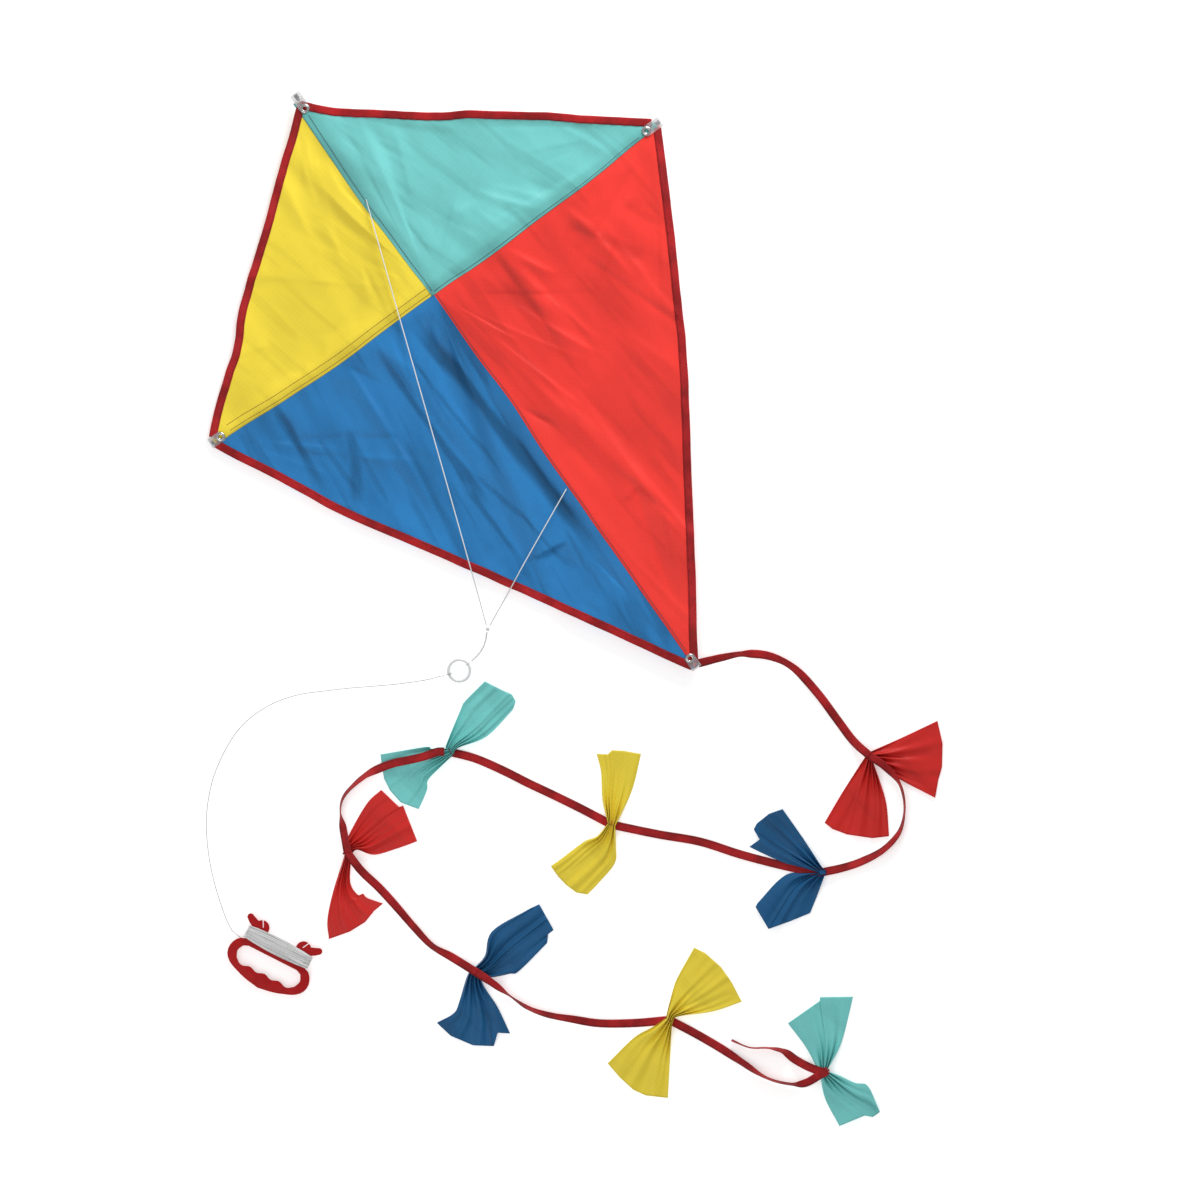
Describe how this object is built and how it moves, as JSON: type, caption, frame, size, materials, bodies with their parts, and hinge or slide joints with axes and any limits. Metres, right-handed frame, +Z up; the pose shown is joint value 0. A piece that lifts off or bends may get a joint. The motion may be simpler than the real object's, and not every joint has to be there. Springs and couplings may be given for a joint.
{
  "type": "diamond kite",
  "caption": "Diamond kite of coloured cloth panels on crossed rods, with bridle, tow ring, line on a hand winder and a ribbon tail with cloth bows.",
  "frame": {"origin": "the flat underside of the centre fitting, straight below the point where the four sail panels meet", "axes": "+Y along the spine to the nose, +X to the kite's side where the tail starts, +Z up, out of the kite's face"},
  "size_m": [0.8527, 1.1939, 0.0137],
  "materials": {
    "red_nylon": "coated ripstop, satin",
    "teal_nylon": "coated ripstop, satin",
    "yellow_nylon": "coated ripstop, satin",
    "blue_nylon": "coated ripstop, satin",
    "red_tape": "woven ribbon",
    "rod": "glass-fibre rod, ground",
    "black_plastic": "moulded",
    "clear_vinyl": "clear flexible vinyl",
    "nickel": "nickel plated, polished",
    "bridle_cord": "braided cord",
    "flying_line": "twisted line",
    "white_plastic": "moulded, translucent white",
    "red_plastic": "moulded, satin gloss"
  },
  "bodies": {
    "kite": {"sail_nose_left": "yellow_nylon", "sail_nose_right": "teal_nylon", "sail_tail_left": "blue_nylon", "sail_tail_right": "red_nylon", "edge_tape_nose_left": "red_tape", "edge_tape_nose_right": "red_tape", "edge_tape_tail_left": "red_tape", "edge_tape_tail_right": "red_tape", "spine_rod": "rod", "spine_sleeve": "black_plastic", "rod_cap_nose": "black_plastic", "rod_cap_tail": "black_plastic", "corner_pocket_nose": "clear_vinyl", "corner_pocket_tail": "clear_vinyl", "corner_pocket_left": "clear_vinyl", "corner_pocket_right": "clear_vinyl", "eyelet_nose": "nickel", "eyelet_tail": "nickel", "eyelet_left": "nickel", "eyelet_right": "nickel", "bridle_hitch_upper": "bridle_cord", "bridle_hitch_lower": "bridle_cord", "tail_tab": "red_tape"},
    "spar": {"cross_spar": "rod", "cross_sleeve": "black_plastic", "rod_cap_left": "black_plastic", "rod_cap_right": "black_plastic"},
    "bridle": {"bridle_upper_leg": "bridle_cord", "bridle_lower_leg": "bridle_cord", "bridle_knot": "bridle_cord", "tow_loop": "bridle_cord", "tow_loop_link": "bridle_cord", "tow_ring": "white_plastic"},
    "line": {"line_hitch": "flying_line", "flying_line": "flying_line"},
    "winder": {"winder": "red_plastic", "line_winding": "flying_line"},
    "tail_upper": {"tail_ribbon_1": "red_tape", "tail_ribbon_2": "red_tape", "bow_1": "red_nylon", "bow_2": "blue_nylon"},
    "tail_lower": {"tail_ribbon_3": "red_tape", "tail_ribbon_4": "red_tape", "tail_ribbon_5": "red_tape", "tail_ribbon_6": "red_tape", "tail_ribbon_7": "red_tape", "tail_ribbon_8": "red_tape", "tail_ribbon_9": "red_tape", "bow_3": "yellow_nylon", "bow_4": "teal_nylon", "bow_5": "red_nylon", "bow_6": "blue_nylon", "bow_7": "yellow_nylon", "bow_8": "teal_nylon", "tail_end_knot": "red_tape"}
  },
  "joints": [
    {"name": "cross_spar_swing", "type": "hinge", "parent": "kite", "child": "spar", "pos_m": [0, 0.00593, 0.0028], "axis": [0, 0, 1], "range_deg": [-80, 80]},
    {"name": "bridle_lift", "type": "hinge", "parent": "kite", "child": "bridle", "pos_m": [-0.0012, -0.063, 0.0126], "axis": [0, 1, 0], "range_deg": [0, 170]},
    {"name": "line_swing", "type": "hinge", "parent": "bridle", "child": "line", "pos_m": [-0.2, -0.332, 0.0032], "axis": [0, 0, 1], "range_deg": [-40, 0]},
    {"name": "winder_swing", "type": "hinge", "parent": "line", "child": "winder", "pos_m": [-0.5425, -0.418, 0.002], "axis": [0, 0, 1], "range_deg": [-30, 0]},
    {"name": "tail_swing", "type": "hinge", "parent": "kite", "child": "tail_upper", "pos_m": [0.005, -0.465, 0.0046], "axis": [0, 0, 1], "range_deg": [0, 40]},
    {"name": "tail_bend", "type": "hinge", "parent": "tail_upper", "child": "tail_lower", "pos_m": [-0.015, -0.713, 0.0046], "axis": [0, 0, 1], "range_deg": [0, 20]}
  ]
}
